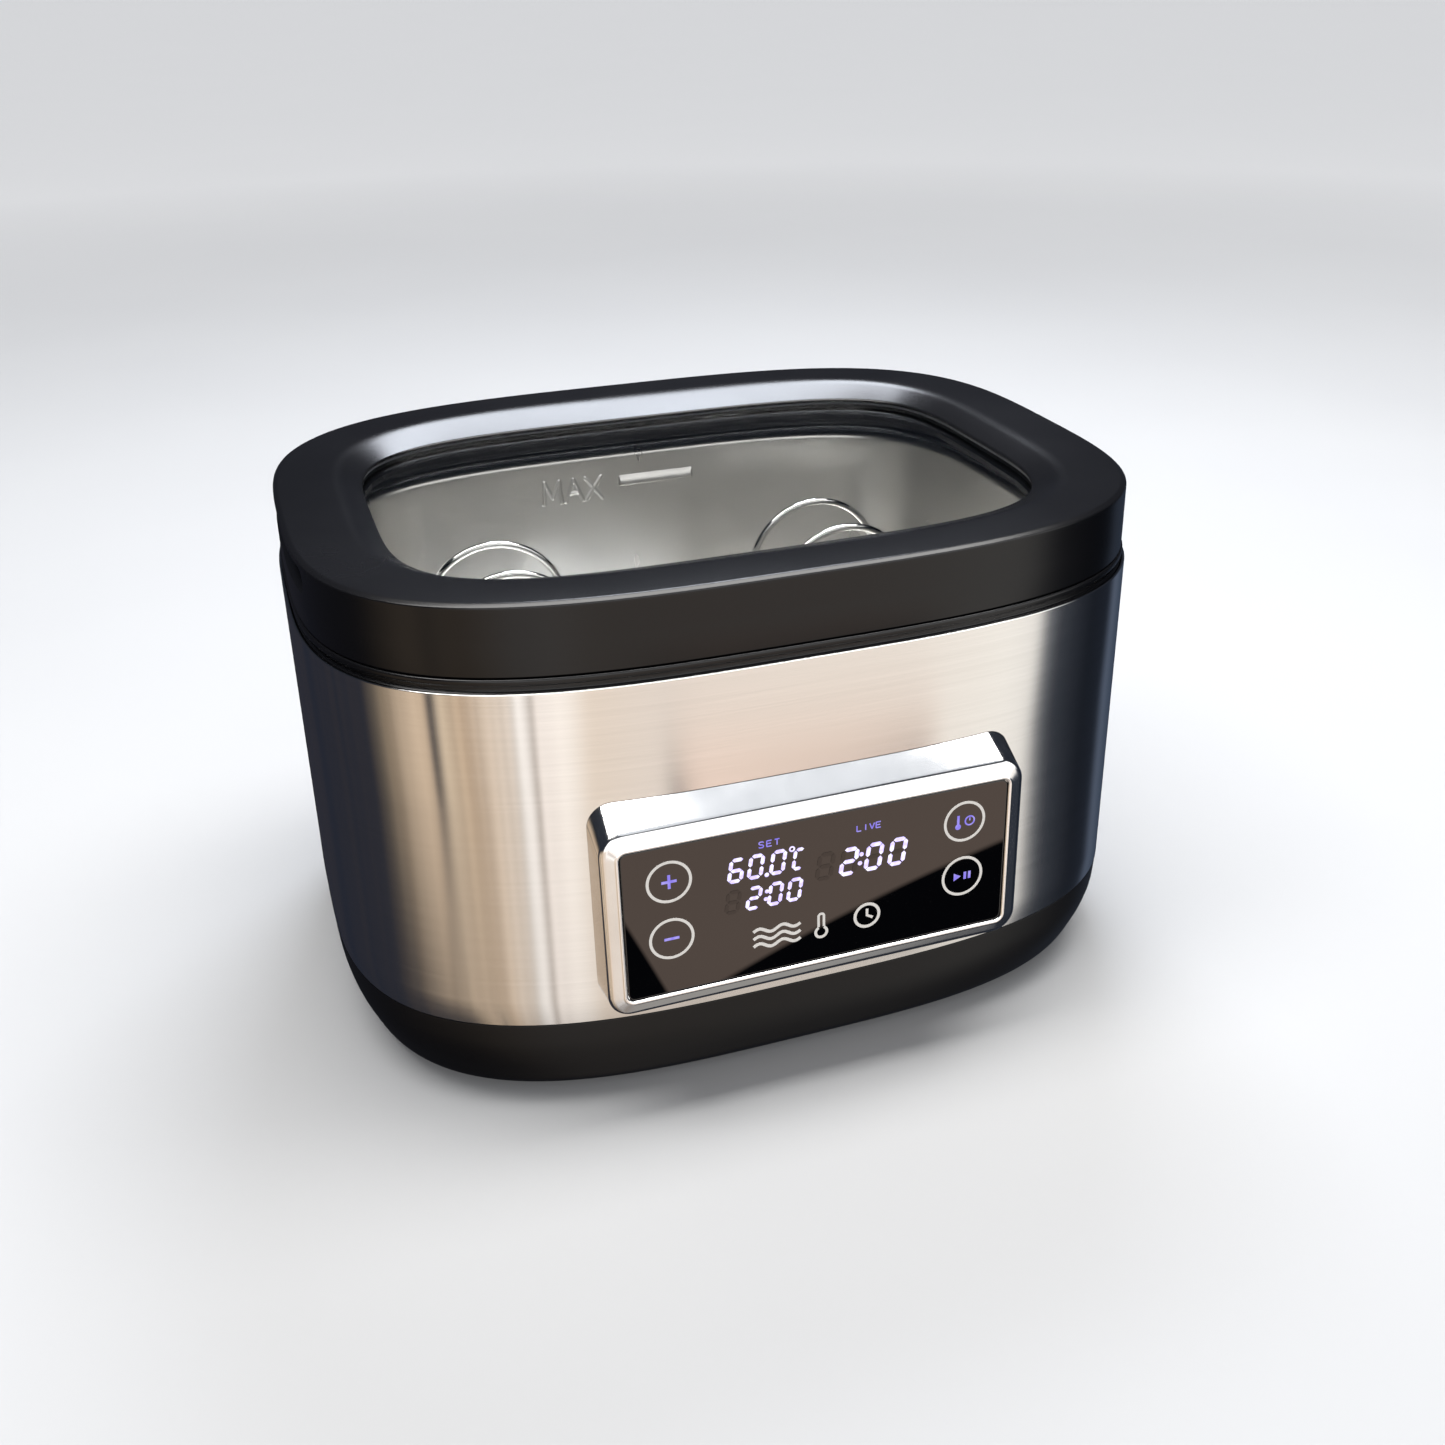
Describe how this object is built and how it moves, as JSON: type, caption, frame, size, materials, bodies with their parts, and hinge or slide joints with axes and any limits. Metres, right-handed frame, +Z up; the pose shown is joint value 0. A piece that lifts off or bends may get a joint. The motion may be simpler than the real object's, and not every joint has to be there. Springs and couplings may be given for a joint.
{
  "type": "sous vide water bath",
  "caption": "Counter-top sous vide water bath: covered steel tank with a glazed lift-off lid, wire bag rack and a touch panel on the front.",
  "frame": {"origin": "on the surface it stands on, under the middle of the whole object", "axes": "+Z up, -Y towards the user and the control panel, +X to the user's right along the long side"},
  "size_m": [0.3484, 0.2876, 0.2138],
  "materials": {
    "black_plastic": "satin moulded black",
    "brushed_steel": "fine horizontal brushed stainless",
    "satin_steel": "satin drawn stainless",
    "bright_steel": "electropolished wire",
    "polished_bezel": "polished",
    "clear_glass": "clear toughened",
    "smoked_glass": "dark gloss",
    "silicone": "matte",
    "heater_silicone": "matte",
    "fibre": "fibrous",
    "rubber": "matte",
    "zinc_steel": "zinc plated",
    "aluminium": "mill",
    "circuit_board": "solder resist",
    "dark_component": "moulded",
    "white_plastic": "moulded",
    "ceramic": "glazed tube",
    "brass": "bright"
  },
  "bodies": {
    "casing": {"base_housing": "black_plastic", "bottom_cover": "black_plastic", "buzzer": "dark_component", "capacitor": "dark_component", "control_bezel": "polished_bezel", "control_glass": "smoked_glass", "cover_screw_1": "zinc_steel", "cover_screw_2": "zinc_steel", "cover_screw_3": "zinc_steel", "cover_screw_4": "zinc_steel", "digits_live": "dark_component", "digits_set": "dark_component", "display_board": "circuit_board", "foot_1": "rubber", "foot_2": "rubber", "foot_3": "rubber", "foot_4": "rubber", "heat_shield": "zinc_steel", "heater_clamp_plate": "aluminium", "heating_pad": "heater_silicone", "inlet_body": "black_plastic", "inlet_pin_earth": "brass", "inlet_pin_live": "brass", "inlet_pin_neutral": "brass", "inner_tank": "satin_steel", "insulation_pad": "fibre", "insulation_wrap": "fibre", "mains_fuse": "ceramic", "outer_shell": "brushed_steel", "power_board": "circuit_board", "relay": "white_plastic", "shield_pillar_1": "zinc_steel", "shield_pillar_2": "zinc_steel", "shield_pillar_3": "zinc_steel", "shield_pillar_4": "zinc_steel", "tank_seal": "silicone", "tank_sensor": "zinc_steel", "terminal_block": "white_plastic", "thermal_cutout": "white_plastic", "top_rim": "black_plastic", "touch_pad_left_lower": "silicone", "touch_pad_left_upper": "silicone", "touch_pad_right_lower": "silicone", "touch_pad_right_upper": "silicone", "transformer": "dark_component"},
    "lid": {"lid_frame": "black_plastic", "lid_gasket": "silicone", "lid_glass": "clear_glass", "lid_retainer": "black_plastic", "lid_screw_1": "zinc_steel", "lid_screw_2": "zinc_steel", "lid_screw_3": "zinc_steel", "lid_screw_4": "zinc_steel"},
    "rack": {"rack_ring": "bright_steel", "rack_wire_1": "bright_steel", "rack_wire_2": "bright_steel", "rack_wire_3": "bright_steel", "rack_wire_4": "bright_steel"}
  },
  "joints": [
    {"name": "lid_lift", "type": "slide", "parent": "casing", "child": "lid", "axis": [0, 0, 1], "range_m": [0, 0.3]},
    {"name": "rack_lift", "type": "slide", "parent": "casing", "child": "rack", "axis": [0, 0, 1], "range_m": [0, 0.18]}
  ],
  "couplings": [
    {"joint": "rack_lift", "follows": "lid_lift", "ratio": 0.6}
  ]
}
